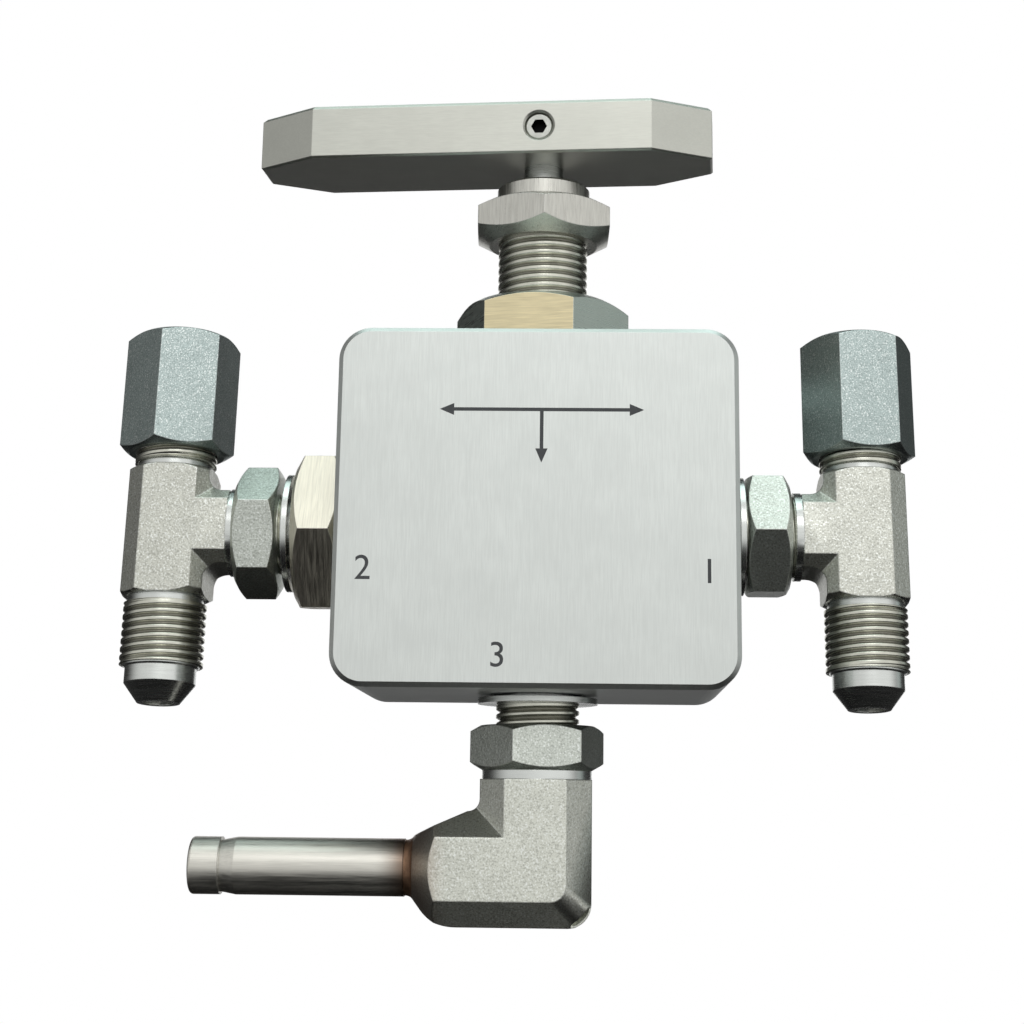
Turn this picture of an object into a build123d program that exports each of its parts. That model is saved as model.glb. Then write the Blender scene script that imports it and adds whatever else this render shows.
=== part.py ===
from build123d import *
import math
import os

os.makedirs("parts", exist_ok=True)

# Three-way ball valve, all sizes in millimetres.
# Origin: on the stem axis, at the panel seat on top of the bonnet hexagon. +Z runs up the stem.
# -Y is the engraved front, port A is on the +X side, port B on the -X side, port C underneath.

# Fits
run_gap = 0.05
thread_gap = 0.05
seal_gap = 0.04
chamfer_slope = math.tan(math.radians(30))

# Block
block_width = 67.0
block_depth = 42.0
block_above_port = 32.1
block_below_port = 27.9
block_corner_radius = 5.5
block_face_bevel = 0.8

# Bonnet and its neck, which also takes a panel nut
bonnet_hex_flats = 27.0
bonnet_hex_height = 8.9
bonnet_hex_turn = -8.5
bonnet_face_diameter = 25.0
bonnet_spigot_diameter = 22.0
bonnet_spigot_length = 13.9
bonnet_ring_groove = 1.5
bonnet_ring_drop = 3.0
neck_thread_diameter = 16.0
neck_exposed = 11.6

# Gland nut, gland and packing
gland_hex_flats = 23.5
gland_hex_height = 6.9
gland_hex_turn = 32.5
gland_nut_low_face_diameter = 19.4
gland_nut_top_face_diameter = 22.6
gland_collar_diameter = 16.7
gland_collar_height = 3.8
gland_roof = 3.9
gland_shoulder = 2.0
gland_head_inset = 0.9
gland_head_gap = 0.3
gland_edge_bevel = 0.4
neck_engagement = 5.8
packing_diameter = 11.0
packing_ring_height = 2.4
packing_ring_count = 3

# Stem
stem_diameter = 7.0
stem_exposed = 3.9
stem_flange_diameter = 11.8
stem_flange_height = 3.0
stem_stop_diameter = 17.6
stem_flat_depth = 0.6
stem_chamber_diameter = 19.0
stem_top_inset = 0.4
stem_edge_bevel = 0.4
thrust_washer_thickness = 1.9
tang_thickness = 3.4
tang_depth = 3.0
stop_pin_diameter = 2.4
stop_pin_ring = 7.4
stop_pin_grip = 4.0
handle_travel = 180.0

# Handle
handle_thickness = 9.9
handle_width = 20.0
handle_long_arm = 51.7
handle_short_arm = 30.7
handle_corner_length = 10.6
handle_corner_depth = 6.0
handle_edge_bevel = 0.7
handle_skew = -4.3
set_screw_diameter = 5.0
set_screw_length = 6.5
set_screw_rise = 5.1
set_screw_bevel = 0.3
set_screw_socket_flats = 2.5
set_screw_socket_depth = 2.2
set_screw_countersink = 5.8

# Ball, seats and passages
ball_diameter = 18.0
flow_bore = 6.5
seat_diameter = 15.6
seat_depth = 10.0
seat_lip = 5.0
seat_ring_groove = 1.6
cavity_diameter = 19.6

# End adapter at port B
adapter_hex_flats = 26.0
adapter_hex_length = 8.6
adapter_hex_turn = 25.1
adapter_face_diameter = 24.0
adapter_thread_diameter = 22.0
adapter_thread_length = 19.0
adapter_ring_groove = 1.5
adapter_ring_inset = 2.2

# Straight-thread ports and the adjustable studs that screw into them
port_thread_diameter = 14.29
port_depth = 14.0
port_ring_bore = 16.6
port_ring_depth = 2.3
stud_inset = 0.8
stud_groove_diameter = 12.3
backup_washer_diameter = 20.6
backup_washer_thickness = 1.0
lock_nut_flats = 20.0
lock_nut_length = 7.5
lock_nut_face_diameter = 18.4
lock_nut_low_face_diameter = 19.6
port_a_washer_gap = 0.9
port_a_nut_gap = 2.3
port_a_nut_turn = 37.0
port_b_washer_gap = 0.9
port_b_nut_gap = 3.1
port_b_nut_turn = -14.0
port_c_washer_gap = 0.4
port_c_nut_gap = 5.1
port_c_nut_turn = -11.0

# Forged tees
tee_reach = 22.8
tee_lean = 5.4
tee_run_width = 14.3
tee_branch_height = 12.8
tee_collar_start = 10.6
tee_collar_height = 1.2
tee_collar_diameter = 15.4
tee_body_up = 10.9
tee_body_down = 11.9
tee_edge_chamfer = 1.9
tee_back_chamfer = 3.1
tee_inner_radius = 2.6
tee_flow_bore = 5.2
tee_end_face_diameter = 14.7
tee_ring_height = 1.0
flare_thread_diameter = 14.29
flare_thread_length = 11.9
flare_neck_diameter = 12.2
flare_neck_length = 3.0
flare_nose_length = 3.2
flare_angle = 37.0
flare_relief_depth = 0.6

# Tube nuts and flare sleeves
tube_diameter = 9.525
tube_nut_flats = 17.46
tube_nut_length = 21.5
tube_nut_standoff = 3.2
tube_nut_face_diameter = 16.6
tube_nut_roof = 4.4
tube_nut_turn_a = 6.3
tube_nut_turn_b = 18.4
sleeve_shank_diameter = 12.0
sleeve_rise = 0.7
sleeve_inset = 0.2
sleeve_relief_diameter = 10.2

# Forged elbow and its tube stub
elbow_drop = 28.8
elbow_width = 18.8
elbow_edge_chamfer = 4.3
elbow_outer_radius = 4.0
elbow_arm_length = 14.5
elbow_taper_length = 6.1
elbow_mouth_diameter = 10.6
elbow_heel_radius = 8.9
elbow_inner_radius = 2.0
elbow_collar_height = 1.5
elbow_collar_diameter = 18.7
stub_reach = 58.3
stub_socket_depth = 6.0
stub_spigot_diameter = 9.1
stub_bore = 5.3
stub_groove_inset = 5.1
stub_groove_width = 2.7
stub_groove_depth = 0.5
stub_end_radius = 0.6
braze_length = 1.4
braze_gap = 0.1

# Places worked out from the sizes above
block_top = -bonnet_hex_height
port_axis = block_top - block_above_port
block_bottom = port_axis - block_below_port
port_a_face = block_width / 2
port_b_face = -block_width / 2 - adapter_hex_length
gland_nut_low = neck_exposed
gland_nut_shoulder = gland_nut_low + gland_hex_height
gland_nut_top = gland_nut_shoulder + gland_collar_height
gland_nut_ceiling = gland_nut_top - gland_roof
neck_top = gland_nut_low + neck_engagement
handle_low = gland_nut_top + stem_exposed
handle_top = handle_low + handle_thickness
stem_top = handle_top - stem_top_inset
chamber_top = block_top - bonnet_spigot_length
flange_top = chamber_top - thrust_washer_thickness - run_gap
flange_low = flange_top - stem_flange_height
chamber_low = flange_low - run_gap
packing_low = neck_top - gland_shoulder - packing_ring_height * packing_ring_count
packing_top = packing_low + packing_ring_height * packing_ring_count
set_screw_height = handle_low + set_screw_rise
flare_length = flare_thread_length + flare_neck_length + flare_nose_length
elbow_arm_end = elbow_arm_length + elbow_taper_length


def turned(outline):
    """A solid of revolution about Z from (radius, height) points."""
    return revolve(Plane.XZ * make_face(Polyline(*outline, close=True)), Axis.Z)


def rod(diameter, low, high):
    """A round bar along Z between two heights."""
    return Pos(0, 0, (low + high) / 2) * Cylinder(diameter / 2, high - low)


def ring(outer, inner, low, high):
    """A flat-ended ring about Z."""
    return rod(outer, low, high) - rod(inner, low, high)


def o_ring(inner_radius, outer_radius, height):
    """A round-section seal ring about Z that fills the space between two radii."""
    section = outer_radius - inner_radius - 2 * seal_gap
    return Pos(0, 0, height) * Torus((inner_radius + outer_radius) / 2, section / 2)


def hexagon(flats, low, high, low_face, high_face, turn):
    """A hexagon bar along Z, turned down to a round face by a 30 degree chamfer at each end."""
    corner = flats / math.sqrt(3) + run_gap
    low_cut = (corner - low_face / 2) * chamfer_slope
    high_cut = (corner - high_face / 2) * chamfer_slope
    shape = Pos(0, 0, low) * extrude(RegularPolygon(flats / 2, 6, major_radius=False), high - low)
    envelope = turned([
        (0, low),
        (low_face / 2, low),
        (corner, low + low_cut),
        (corner, high - high_cut),
        (high_face / 2, high),
        (0, high),
    ])
    return Rot(0, 0, turn) * shape & envelope


def outward_x(shape):
    """Lay a piece that was made along Z down along +X."""
    return Rot(0, 90, 0) * shape


def outward_down(shape):
    """Turn a piece that was made along Z to point down."""
    return Rot(180, 0, 0) * shape


def port_cut():
    """A straight-thread port with its seal counterbore; the face is at height 0, the hole runs down."""
    hole = rod(port_thread_diameter + 2 * thread_gap, -port_depth, run_gap)
    return hole + rod(port_ring_bore, -port_ring_depth, run_gap)


def make_body_block():
    """The block: rounded corners, bevelled faces, ball cavity, stem chamber and three ports."""
    height = block_above_port + block_below_port
    plan = Pos(0, (block_top + block_bottom) / 2) * RectangleRounded(block_width, height, block_corner_radius)
    block = extrude(Plane.XZ * plan, block_depth / 2, both=True)
    half_depth = block_depth / 2
    rims = block.edges().filter_by(lambda edge: abs(abs(edge.center().Y) - half_depth) < run_gap)
    block = chamfer(rims, block_face_bevel)

    side = Pos(0, 0, port_axis) * Rot(0, 90, 0)
    wall = block_width / 2
    adapter_bore = adapter_thread_diameter + 2 * thread_gap
    block -= side * rod(adapter_bore, -wall - run_gap, adapter_thread_length - wall)
    block -= side * rod(cavity_diameter, -wall, seat_lip)
    block -= side * rod(seat_diameter + 2 * seal_gap, 0, seat_depth)
    block -= side * rod(flow_bore, 0, wall)
    block -= Pos(wall, 0, port_axis) * outward_x(port_cut())

    block -= rod(bonnet_spigot_diameter + 2 * thread_gap, chamber_top, block_top + run_gap)
    block -= rod(stem_chamber_diameter, chamber_low, chamber_top + run_gap)
    block -= rod(stem_diameter + 2 * run_gap, port_axis, chamber_low + run_gap)
    block -= rod(flow_bore, block_bottom, port_axis)
    block -= Pos(0, 0, block_bottom) * outward_down(port_cut())
    return block


def make_end_adapter():
    """The hexagon end adapter that closes the ball cavity at port B and holds that seat."""
    wall = block_width / 2
    outer = -port_b_face
    nose = (cavity_diameter - 2 * run_gap) / 2
    thread = adapter_thread_diameter / 2
    groove = nose - adapter_ring_groove
    groove_low = seat_depth + adapter_ring_inset
    groove_high = groove_low + adapter_ring_groove
    stop = wall - adapter_thread_length
    body = turned([
        (0, seat_lip),
        (nose, seat_lip),
        (nose, groove_low),
        (groove, groove_low),
        (groove, groove_high),
        (nose, groove_high),
        (nose, stop + run_gap),
        (thread, stop + run_gap),
        (thread, wall),
        (0, wall),
    ])
    face = adapter_face_diameter
    body += hexagon(adapter_hex_flats, wall, outer, face, face, adapter_hex_turn)
    body -= rod(seat_diameter + 2 * seal_gap, 0, seat_depth)
    body -= rod(flow_bore, 0, outer)
    return toward_b(body - Pos(0, 0, outer) * port_cut())


def make_adapter_ring():
    """The seal ring in the groove of the end adapter's nose."""
    bore = cavity_diameter / 2
    groove = bore - run_gap - adapter_ring_groove
    height = seat_depth + adapter_ring_inset + adapter_ring_groove / 2
    squeezed = (adapter_ring_groove - 2 * seal_gap) / 2
    return toward_b(Pos(0, 0, height) * Torus((bore + groove) / 2, squeezed))


def make_seat():
    """A seat ring with a face that follows the ball, along +Z from the ball's centre."""
    shape = ring(seat_diameter, flow_bore, seat_lip, seat_depth)
    shape -= Sphere(ball_diameter / 2 + run_gap)
    groove_low = seat_depth - seat_ring_groove
    return shape - ring(seat_diameter, seat_diameter - 2 * seat_ring_groove, groove_low, seat_depth)


def make_seat_ring():
    """The seal ring behind a seat, along +Z from the ball's centre."""
    outer = seat_diameter / 2
    return o_ring(outer - seat_ring_groove, outer, seat_depth - seat_ring_groove / 2)


def toward_a(shape):
    """Place a piece made along Z from the ball's centre toward port A."""
    return Pos(0, 0, port_axis) * Rot(0, 90, 0) * shape


def toward_b(shape):
    """Place a piece made along Z from the ball's centre toward port B."""
    return Pos(0, 0, port_axis) * Rot(0, -90, 0) * shape


def make_ball():
    """The ball: an L passage from the bottom port to port B, and the slot for the stem's tang."""
    radius = ball_diameter / 2
    ball = Sphere(radius)
    ball -= rod(flow_bore, -radius, 0)
    ball -= Rot(0, -90, 0) * rod(flow_bore, 0, radius)
    ball -= Sphere(flow_bore / 2)
    slot_low = radius - tang_depth - 2 * run_gap
    slot = Box(tang_thickness + 2 * run_gap, ball_diameter, 2 * (radius - slot_low))
    ball -= Pos(0, 0, radius) * slot
    return Pos(0, 0, port_axis) * ball


def make_bonnet():
    """The bonnet: threaded spigot, hexagon, threaded neck, stem bore, packing chamber."""
    thread = bonnet_spigot_diameter / 2
    groove = thread - bonnet_ring_groove
    groove_high = block_top - bonnet_ring_drop
    groove_low = groove_high - bonnet_ring_groove
    spigot = turned([
        (0, chamber_top),
        (thread, chamber_top),
        (thread, groove_low),
        (groove, groove_low),
        (groove, groove_high),
        (thread, groove_high),
        (thread, block_top),
        (0, block_top),
    ])
    plain_face = 2 * bonnet_hex_flats / math.sqrt(3)
    body = spigot + hexagon(bonnet_hex_flats, block_top, 0, plain_face, bonnet_face_diameter, bonnet_hex_turn)
    body += rod(neck_thread_diameter, -run_gap, neck_top)
    body -= rod(stem_diameter + 2 * run_gap, chamber_top, neck_top)
    body -= rod(packing_diameter, packing_low, neck_top)
    return body - Pos(0, -stop_pin_ring, 0) * rod(stop_pin_diameter, chamber_top, chamber_top + stop_pin_grip)


def make_bonnet_ring():
    """The seal ring in the bonnet's groove."""
    outer = bonnet_spigot_diameter / 2
    height = block_top - bonnet_ring_drop - bonnet_ring_groove / 2
    return o_ring(outer - bonnet_ring_groove, outer, height)


def make_gland_nut():
    """The nut that screws on the neck and presses the gland down, with a round collar on top."""
    body = hexagon(
        gland_hex_flats,
        gland_nut_low,
        gland_nut_shoulder,
        gland_nut_low_face_diameter,
        gland_nut_top_face_diameter,
        gland_hex_turn,
    )
    body += rod(gland_collar_diameter, gland_nut_shoulder - run_gap, gland_nut_top)
    top_edge = body.edges().filter_by(GeomType.CIRCLE).sort_by(Axis.Z)[-1]
    body = chamfer(top_edge, gland_edge_bevel)
    body -= rod(neck_thread_diameter + 2 * thread_gap, gland_nut_low, gland_nut_ceiling)
    return body - rod(stem_diameter + 2 * seal_gap + 2 * run_gap, gland_nut_ceiling, gland_nut_top)


def make_gland():
    """The gland that carries the nut's load down to the packing."""
    shank = packing_diameter - 2 * seal_gap
    head = neck_thread_diameter - 2 * gland_head_inset
    head_low = neck_top + gland_head_gap
    body = rod(shank, packing_top, head_low) + rod(head, head_low, gland_nut_ceiling)
    return body - rod(stem_diameter + 2 * run_gap, packing_top, gland_nut_ceiling)


def make_packing():
    """The stack of packing rings round the stem."""
    inner = stem_diameter + 2 * run_gap
    outer = packing_diameter - 2 * seal_gap
    lows = [packing_low + packing_ring_height * index for index in range(packing_ring_count)]
    return [ring(outer, inner, low, low + packing_ring_height - seal_gap) for low in lows]


def make_stem():
    """The stem: tang, stop flange, long journal and the flat for the handle's set screw."""
    ball_top = port_axis + ball_diameter / 2
    tang_low = ball_top - tang_depth
    stem = rod(stem_diameter, ball_top + run_gap, stem_top)
    stem += rod(stem_flange_diameter, flange_low, flange_top)
    half_gap = math.degrees(math.asin((stop_pin_diameter / 2 + run_gap) / stop_pin_ring))
    stem += stop_sector(half_gap)
    tang = Box(tang_thickness, stem_diameter, tang_depth + run_gap)
    tang = Pos(0, 0, (tang_low + ball_top) / 2 + run_gap) * tang
    stem += tang & rod(stem_diameter, tang_low, ball_top + stem_diameter)
    flat = Pos(0, -stem_diameter + stem_flat_depth, set_screw_height) * Box(
        stem_diameter, stem_diameter, set_screw_diameter
    )
    stem -= Rot(0, 0, handle_skew) * flat
    top_edge = stem.edges().filter_by(GeomType.CIRCLE).sort_by(Axis.Z)[-1]
    return chamfer(top_edge, stem_edge_bevel)


def stop_sector(half_gap):
    """The raised part of the stop flange, which meets the stop pin at both ends of the travel."""
    sweep_angle = 360 - handle_travel - 2 * half_gap
    start = -90 + half_gap
    radius = stem_stop_diameter / 2
    arc = CenterArc((0, 0), radius, start, sweep_angle)
    outline = arc + Line(arc @ 1, (0, 0)) + Line((0, 0), arc @ 0)
    return Pos(0, 0, flange_low) * extrude(make_face(outline), stem_flange_height)


def make_thrust_washer():
    """The washer between the stem's flange and the bonnet."""
    inner = stem_diameter + 2 * run_gap
    return ring(stem_flange_diameter, inner, flange_top, flange_top + thrust_washer_thickness)


def make_stop_pin():
    """The pin pressed up into the bonnet that stops the flange."""
    low = flange_low + run_gap
    return Pos(0, -stop_pin_ring, 0) * rod(stop_pin_diameter, low, chamber_top + stop_pin_grip)


def make_handle():
    """The bar handle: eight-sided from above, bevelled top and bottom, bored for stem and set screw."""
    half = handle_width / 2
    inner_half = half - handle_corner_depth
    outline = Polyline(
        (-handle_long_arm, -inner_half),
        (handle_corner_length - handle_long_arm, -half),
        (handle_short_arm - handle_corner_length, -half),
        (handle_short_arm, -inner_half),
        (handle_short_arm, inner_half),
        (handle_short_arm - handle_corner_length, half),
        (handle_corner_length - handle_long_arm, half),
        (-handle_long_arm, inner_half),
        close=True,
    )
    bar = Pos(0, 0, handle_low) * extrude(make_face(outline), handle_thickness)
    bar = chamfer(bar.faces().sort_by(Axis.Z)[-1].edges(), handle_edge_bevel)
    bar = chamfer(bar.faces().sort_by(Axis.Z)[0].edges(), handle_edge_bevel / 2)
    bar -= rod(stem_diameter + 2 * seal_gap, handle_low, handle_top)
    bar -= Pos(0, 0, set_screw_height) * Rot(90, 0, 0) * set_screw_hole(half)
    return Rot(0, 0, handle_skew) * bar


def set_screw_hole(half):
    """The threaded hole for the set screw with its countersink, along +Z out to the bar's face."""
    radius = set_screw_diameter / 2 + thread_gap
    mouth = set_screw_countersink / 2
    return turned([
        (0, 0),
        (radius, 0),
        (radius, half - (mouth - radius)),
        (mouth, half),
        (mouth, half + run_gap),
        (0, half + run_gap),
    ])


def make_set_screw():
    """The socket set screw that grips the flat on the stem."""
    low = stem_diameter / 2 - stem_flat_depth + seal_gap
    high = low + set_screw_length
    screw = rod(set_screw_diameter, low, high)
    screw = chamfer(screw.edges().filter_by(GeomType.CIRCLE), set_screw_bevel)
    socket = RegularPolygon(set_screw_socket_flats / 2, 6, major_radius=False)
    screw -= Pos(0, 0, high - set_screw_socket_depth) * extrude(socket, set_screw_socket_depth)
    return Rot(0, 0, handle_skew) * Pos(0, 0, set_screw_height) * Rot(90, 0, 0) * screw


def make_stud(washer_gap, collar_low, collar_high, collar_diameter):
    """The adjustable stud along Z from the port face: port thread, seal groove, nut thread, collar."""
    radius = port_thread_diameter / 2
    groove = stud_groove_diameter / 2
    washer_top = washer_gap + backup_washer_thickness
    stud_low = stud_inset - port_depth
    return turned([
        (0, stud_low),
        (radius - stud_inset, stud_low),
        (radius, stud_low + stud_inset),
        (radius, -port_ring_depth - run_gap),
        (groove, -port_ring_depth - run_gap),
        (groove, washer_top),
        (radius, washer_top),
        (radius, collar_low),
        (collar_diameter / 2, collar_low),
        (collar_diameter / 2, collar_high),
        (0, collar_high),
    ])


def make_lock_nut(nut_gap, turn):
    """A lock nut along Z from the port face, with its chamfered side outward."""
    high = nut_gap + lock_nut_length
    shape = hexagon(lock_nut_flats, nut_gap, high, lock_nut_low_face_diameter, lock_nut_face_diameter, turn)
    return shape - rod(port_thread_diameter + 2 * thread_gap, nut_gap, high)


def make_backup_washer(washer_gap):
    """A backup washer along Z from the port face."""
    inner = stud_groove_diameter + 2 * run_gap
    return ring(backup_washer_diameter, inner, washer_gap, washer_gap + backup_washer_thickness)


def make_port_ring():
    """The seal ring between the stud's groove and the port's counterbore."""
    return o_ring(stud_groove_diameter / 2, port_ring_bore / 2, -port_ring_depth / 2)


def make_flare_end(start):
    """A 37 degree flared male end along Z: relief, thread, plain neck and nose."""
    thread = flare_thread_diameter / 2
    neck = flare_neck_diameter / 2
    thread_high = start + flare_thread_length
    neck_high = thread_high + flare_neck_length
    nose_high = neck_high + flare_nose_length
    nose = neck - flare_nose_length * math.tan(math.radians(flare_angle))
    return turned([
        (0, 0),
        (thread - flare_relief_depth, 0),
        (thread - flare_relief_depth, start + tee_ring_height),
        (thread, start + tee_ring_height + flare_relief_depth / 2),
        (thread, thread_high - flare_relief_depth / 2),
        (neck, thread_high + flare_relief_depth / 2),
        (neck, neck_high),
        (nose, nose_high),
        (0, nose_high),
    ])


def make_tee(washer_gap):
    """A forged tee, port face at the origin, +X outward: stud, branch, run and two flared ends."""
    branch_start = tee_collar_start + tee_collar_height
    run = Pos(tee_reach, 0, 0)
    forging = run * run_bar() + branch_bar(branch_start)
    forging = forging.fillet(tee_inner_radius, forging.edges().filter_by(is_tee_crotch))
    forging -= run * end_trim(tee_run_width, tee_end_face_diameter, tee_body_up)
    forging -= run * outward_down(end_trim(tee_run_width, tee_end_face_diameter, tee_body_down))
    tee = forging + run * make_flare_end(tee_body_up)
    tee += run * outward_down(make_flare_end(tee_body_down))
    tee += outward_x(make_stud(washer_gap, tee_collar_start, branch_start + run_gap, tee_collar_diameter))
    tee -= run * rod(tee_flow_bore, -tee_body_down - flare_length, tee_body_up + flare_length)
    return tee - outward_x(rod(tee_flow_bore, stud_inset - port_depth, tee_reach))


def chamfered_bar(width, depth, low_chamfer, high_chamfer, low, high):
    """A bar along Z, with one chamfer on its two -X corners and another on its two +X corners."""
    section = Rectangle(width, depth)
    section = chamfer(section.vertices().group_by(Axis.X)[0], low_chamfer)
    section = chamfer(section.vertices().group_by(Axis.X)[-1], high_chamfer)
    return Pos(0, 0, low) * extrude(section, high - low)


def run_bar():
    """The tee's run before its ends are turned, with heavier chamfers on the side away from the branch."""
    return chamfered_bar(
        tee_run_width, tee_run_width, tee_edge_chamfer, tee_back_chamfer, -tee_body_down, tee_body_up
    )


def branch_bar(start):
    """The tee's branch from its collar to the run's axis."""
    edge = tee_edge_chamfer
    return outward_x(chamfered_bar(tee_branch_height, tee_run_width, edge, edge, start, tee_reach))


def is_tee_crotch(edge):
    """Whether an edge of the tee's forging lies along Y where the run's wall meets the branch's."""
    middle = edge.center()
    at_wall = abs(middle.X - tee_reach + tee_run_width / 2) < run_gap
    return at_wall and abs(abs(middle.Z) - tee_branch_height / 2) < run_gap and abs(middle.Y) < run_gap


def end_trim(width, face_diameter, height):
    """What turning takes off the corners of a square forging below an end face at this height."""
    corner = width / math.sqrt(2)
    cut = (corner - face_diameter / 2) * chamfer_slope
    return turned([
        (face_diameter / 2, height),
        (corner, height - cut),
        (corner, height),
    ])


def make_tube_nut(turn):
    """The long tube nut along Z over a tee's upper end, heights from the tee's axis."""
    low = tee_body_up + tube_nut_standoff
    high = low + tube_nut_length
    body = hexagon(tube_nut_flats, low, high, tube_nut_face_diameter, tube_nut_face_diameter, turn)
    body -= rod(flare_thread_diameter + 2 * thread_gap, low, high - tube_nut_roof)
    return body - rod(sleeve_shank_diameter + 2 * seal_gap, low, high)


def make_sleeve():
    """The flare sleeve that the tube nut clamps on the nose, heights from the tee's axis."""
    neck_high = tee_body_up + flare_thread_length + flare_neck_length
    shoulder = tee_body_up + tube_nut_standoff + tube_nut_length - tube_nut_roof - seal_gap
    top = shoulder + tube_nut_roof + sleeve_rise
    bore = tube_diameter / 2 + run_gap
    outer = flare_thread_diameter / 2 - sleeve_inset
    cone_radius = flare_neck_diameter / 2 + seal_gap
    relief = sleeve_relief_diameter / 2
    cone_high = neck_high + seal_gap + (cone_radius - relief) / math.tan(math.radians(flare_angle))
    nose_high = neck_high + flare_nose_length + seal_gap
    return turned([
        (cone_radius, neck_high + seal_gap),
        (outer, neck_high + seal_gap),
        (outer, shoulder),
        (sleeve_shank_diameter / 2, shoulder),
        (sleeve_shank_diameter / 2, top),
        (bore, top),
        (bore, nose_high),
        (relief, nose_high),
        (relief, cone_high),
    ])


def make_elbow():
    """The forged elbow, port face at the origin, stud pointing up, arm toward -X."""
    half = elbow_width / 2
    collar_low = port_c_nut_gap + lock_nut_length
    upright_top = -collar_low - elbow_collar_height
    upright = octagon_bar(-elbow_drop - half, upright_top)
    arm = along_arm(octagon_bar(-half, elbow_arm_end))
    upper = above_mitre()
    forging = (upright & upper) + (arm - upper)
    outer_edges = forging.edges().filter_by(lambda edge: is_outer_mitre(edge.center()))
    forging = fillet(outer_edges, elbow_outer_radius)
    inner_edges = forging.edges().filter_by(lambda edge: is_inner_mitre(edge.center()))
    forging = forging.fillet(elbow_inner_radius, inner_edges)
    forging -= along_arm(arm_end_cut())
    forging -= along_arm(turned([
        (elbow_mouth_diameter / 2, elbow_arm_end),
        (half * math.sqrt(2), elbow_arm_length),
        (half * math.sqrt(2), elbow_arm_end),
    ]))
    elbow = forging + outward_down(
        make_stud(port_c_washer_gap, collar_low, -upright_top + run_gap, elbow_collar_diameter)
    )
    elbow -= rod(stub_bore, -elbow_drop, port_depth)
    elbow -= Pos(0, 0, -elbow_drop) * Sphere(stub_bore / 2)
    elbow -= along_arm(rod(stub_bore, 0, elbow_arm_end))
    socket = rod(stub_spigot_diameter + 2 * seal_gap, elbow_arm_end - stub_socket_depth, elbow_arm_end)
    return elbow - along_arm(socket)


def arm_end_cut():
    """What the forging lacks at its arm's end, +X up and +Z outward: a slope above, a round heel below."""
    half = elbow_width / 2
    mouth = elbow_mouth_diameter / 2
    slope = Polyline(
        (half, half + elbow_inner_radius),
        (mouth, elbow_arm_end),
        (half, elbow_arm_end),
        close=True,
    )
    turn = math.acos(1 - (half - mouth) / elbow_heel_radius)
    heel_start = elbow_arm_end - elbow_heel_radius * math.sin(turn)
    rise = elbow_heel_radius * (1 - math.cos(turn / 2))
    halfway = (rise - half, heel_start + elbow_heel_radius * math.sin(turn / 2))
    heel = ThreePointArc((-half, heel_start), halfway, (-mouth, elbow_arm_end))
    heel += Polyline((-mouth, elbow_arm_end), (-half, elbow_arm_end), (-half, heel_start))
    outlines = [make_face(slope), make_face(heel)]
    cuts = [extrude(Plane.XZ * outline, half, both=True) for outline in outlines]
    return cuts[0] + cuts[1]


def along_arm(shape):
    """Lay a piece that was made along Z down along the elbow's arm, toward -X."""
    return Pos(0, 0, -elbow_drop) * Rot(0, -90, 0) * shape


def octagon_bar(low, high):
    """An eight-sided bar along Z with the elbow's section."""
    section = chamfer(Rectangle(elbow_width, elbow_width).vertices(), elbow_edge_chamfer)
    return Pos(0, 0, low) * extrude(section, high - low)


def above_mitre():
    """The space on the upright's side of the elbow's mitre plane."""
    span = 2 * (elbow_arm_end + elbow_drop)
    outline = Polyline(
        (span, -elbow_drop - span),
        (span, span),
        (-span, span),
        (-span, span - elbow_drop),
        close=True,
    )
    return extrude(Plane.XZ * make_face(outline), elbow_width, both=True)


def is_outer_mitre(middle):
    """Whether a point lies in the mitre plane on the elbow's outer side."""
    in_plane = abs(middle.X + middle.Z + elbow_drop) < run_gap
    return in_plane and middle.X > elbow_width / 4


def is_inner_mitre(middle):
    """Whether a point is the middle of the edge where the elbow's inner walls meet."""
    in_plane = abs(middle.X + middle.Z + elbow_drop) < run_gap
    return in_plane and abs(middle.X + elbow_width / 2) < run_gap and abs(middle.Y) < run_gap


def make_stub():
    """The tube stub: spigot in the elbow, plain tube, a groove near its end, and a rounded end face."""
    low = elbow_arm_end - stub_socket_depth + seal_gap
    shoulder = elbow_arm_end + braze_length + braze_gap
    spigot = stub_spigot_diameter / 2
    radius = tube_diameter / 2
    groove_high = stub_reach - stub_groove_inset
    groove_low = groove_high - stub_groove_width
    stub = turned([
        (stub_bore / 2, low),
        (spigot, low),
        (spigot, shoulder),
        (radius, shoulder),
        (radius, groove_low),
        (radius - stub_groove_depth, groove_high),
        (radius, groove_high),
        (radius, stub_reach),
        (stub_bore / 2, stub_reach),
    ])
    rims = stub.edges().filter_by(GeomType.CIRCLE)
    end_rims = rims.filter_by(lambda edge: edge.center().Z > stub_reach - run_gap)
    return along_arm(fillet(end_rims, stub_end_radius))


def make_braze():
    """The hollow fillet of braze between the elbow's mouth and the tube's spigot."""
    low = elbow_arm_end
    inner = stub_spigot_diameter / 2 + seal_gap
    outer = elbow_mouth_diameter / 2
    high = low + braze_length
    flank = ThreePointArc((outer, low), ((inner * 2 + outer) / 3, low + braze_length / 3), (inner, high))
    outline = flank + Polyline((inner, high), (inner, low), (outer, low))
    return along_arm(revolve(Plane.XZ * make_face(outline), Axis.Z))


def at_port_a(shape):
    """Place a fitting piece made for +X at port A, its top leaning back."""
    return Pos(port_a_face, 0, port_axis) * Rot(-tee_lean, 0, 0) * shape


def at_port_b(shape):
    """Place a fitting piece made for +X at port B, turned to face -X, its top leaning back."""
    return Pos(port_b_face, 0, port_axis) * Rot(-tee_lean, 0, 0) * Rot(0, 0, 180) * shape


def at_port_c(shape):
    """Place a fitting piece at port C."""
    return Pos(0, 0, block_bottom) * shape


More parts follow.
